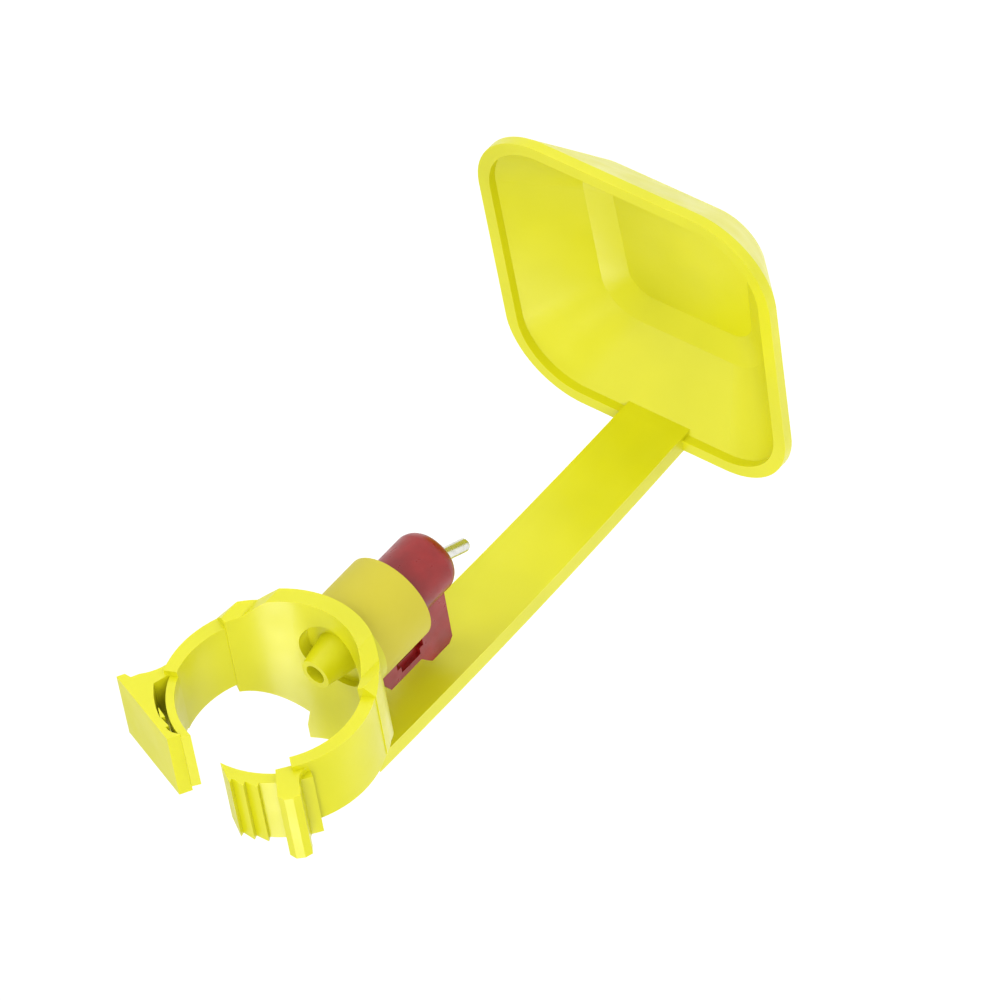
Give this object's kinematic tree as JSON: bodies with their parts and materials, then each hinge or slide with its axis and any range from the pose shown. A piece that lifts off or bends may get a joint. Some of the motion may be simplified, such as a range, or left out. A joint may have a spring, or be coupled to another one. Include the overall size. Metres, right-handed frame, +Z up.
{
  "type": "poultry nipple drinker",
  "caption": "Clip-on poultry nipple drinker: pipe clip, nipple valve with a metal trigger pin, and a drip cup hanging on an arm below it.",
  "frame": {"origin": "centre of the water pipe's bore in the clip, above the nipple's axis", "axes": "+X along the pipe towards the arm's side, +Z up; the nipple points to -Z and the cup hangs below it"},
  "size_m": [0.0506, 0.0508, 0.1104],
  "materials": {
    "clip_plastic": "satin moulded polypropylene, yellow",
    "housing_plastic": "moulded acetal, dark red",
    "pin_steel": "turned stainless steel",
    "bush_steel": "turned stainless steel",
    "seal_rubber": "black seal rubber"
  },
  "bodies": {
    "root": {"clip_arm_cup": "clip_plastic", "nipple_housing": "housing_plastic", "valve_seat_bush": "bush_steel", "seat_ring": "seal_rubber", "housing_o_ring": "seal_rubber"},
    "trigger": {"trigger_pin": "pin_steel"},
    "valve": {"valve_pin": "pin_steel"}
  },
  "joints": [
    {"name": "trigger_tilt", "type": "hinge", "parent": "root", "child": "trigger", "pos_m": [-0.0022, 0, -0.0325], "axis": [0, 1, 0], "range_deg": [0, 24]},
    {"name": "valve_lift", "type": "slide", "parent": "root", "child": "valve", "axis": [0, 0, 1], "range_m": [-0.0012, 0]}
  ],
  "couplings": [
    {"joint": "trigger_tilt", "follows": "valve_lift", "rad_per_m": -349.88}
  ]
}
